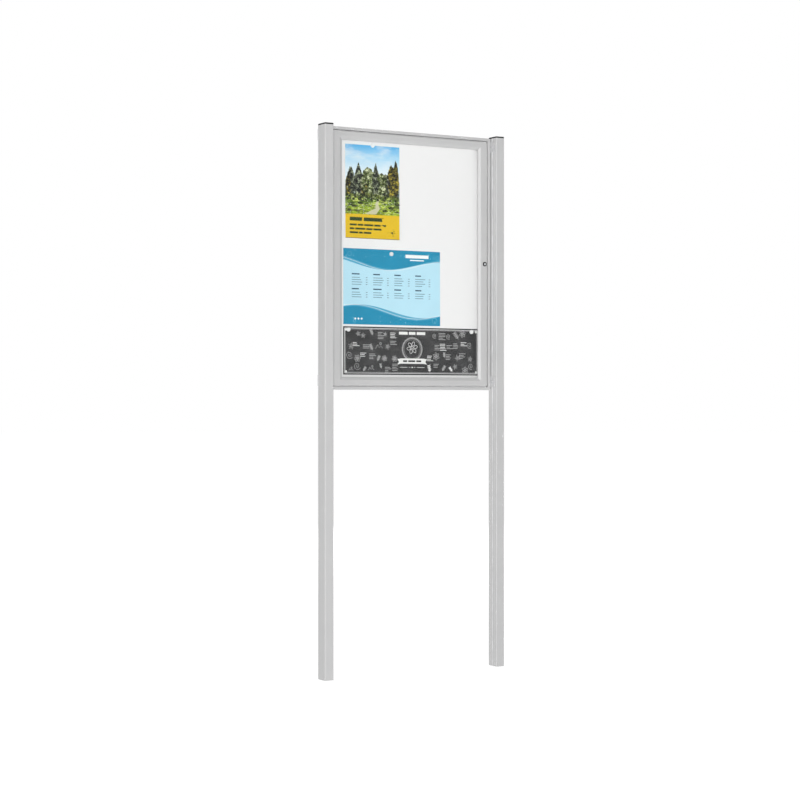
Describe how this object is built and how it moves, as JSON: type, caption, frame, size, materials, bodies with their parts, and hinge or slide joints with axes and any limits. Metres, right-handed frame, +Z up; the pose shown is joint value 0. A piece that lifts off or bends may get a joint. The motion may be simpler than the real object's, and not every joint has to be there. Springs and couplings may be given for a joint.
{
  "type": "outdoor notice board",
  "caption": "Free-standing outdoor notice board: a glazed, lockable aluminium display case held between two slotted posts, with notices pinned by magnets.",
  "frame": {"origin": "centre of the left post's flat foot", "axes": "+X along the board from the left post to the right one, +Y from the glazed front to the back, +Z up"},
  "size_m": [0.8682, 0.081, 2.251],
  "materials": {
    "aluminium_profile": "satin anodised",
    "bracket_plate": "satin anodised",
    "aluminium_sheet": "mill finish",
    "cap_plastic": "matt dark grey",
    "screw_steel": "zinc plated",
    "white_panel": "white enamel",
    "gasket_rubber": "matt pale grey",
    "clear_glass": "clear",
    "hinge_metal": "satin anodised",
    "lock_black": "black",
    "lock_chrome": "polished",
    "notice_paper": "printed paper",
    "magnet_plastic": "white"
  },
  "bodies": {
    "stand": {"post_left": "aluminium_profile", "slot_cover_left": "aluminium_profile", "post_cap_left": "cap_plastic", "foot_plug_left": "cap_plastic", "bracket_bottom_left": "bracket_plate", "bracket_top_left": "bracket_plate", "post_right": "aluminium_profile", "slot_cover_right": "aluminium_profile", "post_cap_right": "cap_plastic", "foot_plug_right": "cap_plastic", "bracket_bottom_right": "bracket_plate", "bracket_top_right": "bracket_plate", "slot_screws": "screw_steel", "slot_nuts": "screw_steel", "case_screws": "screw_steel", "case_frame_bottom": "aluminium_profile", "case_frame_top": "aluminium_profile", "case_frame_left": "aluminium_profile", "case_frame_right": "aluminium_profile", "back_panel": "white_panel", "rear_sheet": "aluminium_sheet", "hinge_fixed_bottom": "hinge_metal", "hinge_fixed_middle": "hinge_metal", "hinge_fixed_top": "hinge_metal", "hinge_pins": "screw_steel", "notice_portrait": "notice_paper", "notice_landscape": "notice_paper", "notice_banner": "notice_paper", "magnet_portrait": "magnet_plastic", "magnet_landscape": "magnet_plastic", "magnet_banner_left": "magnet_plastic", "magnet_banner_right": "magnet_plastic"},
    "door": {"door_frame_bottom": "aluminium_profile", "door_frame_top": "aluminium_profile", "door_frame_left": "aluminium_profile", "door_frame_right": "aluminium_profile", "door_gasket": "gasket_rubber", "door_glass": "clear_glass", "lock_barrel": "lock_black", "lock_nut": "screw_steel", "hinge_moving_bottom": "hinge_metal", "hinge_moving_middle": "hinge_metal", "hinge_moving_top": "hinge_metal"},
    "lock": {"lock_plug": "lock_chrome", "lock_cam": "screw_steel"}
  },
  "joints": [
    {"name": "door_swing", "type": "hinge", "parent": "stand", "child": "door", "pos_m": [0.0385, 0.007, 1.7095], "axis": [0, 0, -1], "range_deg": [0, 110]},
    {"name": "lock_turn", "type": "hinge", "parent": "door", "child": "lock", "pos_m": [0.773, 0.011, 1.7095], "axis": [0, -1, 0], "range_deg": [0, 90]}
  ]
}
